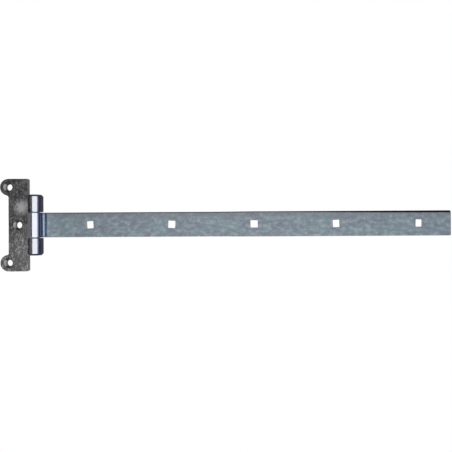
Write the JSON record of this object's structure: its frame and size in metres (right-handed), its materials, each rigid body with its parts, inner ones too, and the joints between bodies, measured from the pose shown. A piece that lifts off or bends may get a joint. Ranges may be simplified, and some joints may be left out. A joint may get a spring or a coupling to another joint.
{
  "type": "t hinge",
  "caption": "Tee hinge: a forged plate with round lugs and two knuckles, and a long flat strap with square holes, rolled round a plain pin.",
  "frame": {"origin": "centre of the bracket's middle bolt hole, in the plane of the plate's back and the strap's back", "axes": "+X along the strap from the bracket to its free end, +Y along the hinge pin, +Z out of the mounting plane, towards the person who looks at the fitted hinge"},
  "size_m": [0.5469, 0.1124, 0.0181],
  "materials": {
    "forged_bracket": "forged steel, dark plated, mottled, burnished on the knuckles",
    "galvanised_strap": "zinc-coated flat bar with faint mottled spangle, brighter on the rolled eye",
    "pin_steel": "bright drawn steel with hammered ends"
  },
  "bodies": {
    "bracket": {"mounting_bracket": "forged_bracket", "hinge_pin": "pin_steel"},
    "strap_leaf": {"strap": "galvanised_strap"}
  },
  "joints": [
    {"name": "strap_swing", "type": "hinge", "parent": "bracket", "child": "strap_leaf", "pos_m": [0.023, 0, 0.00905], "axis": [0, -1, 0], "range_deg": [0, 180]}
  ]
}
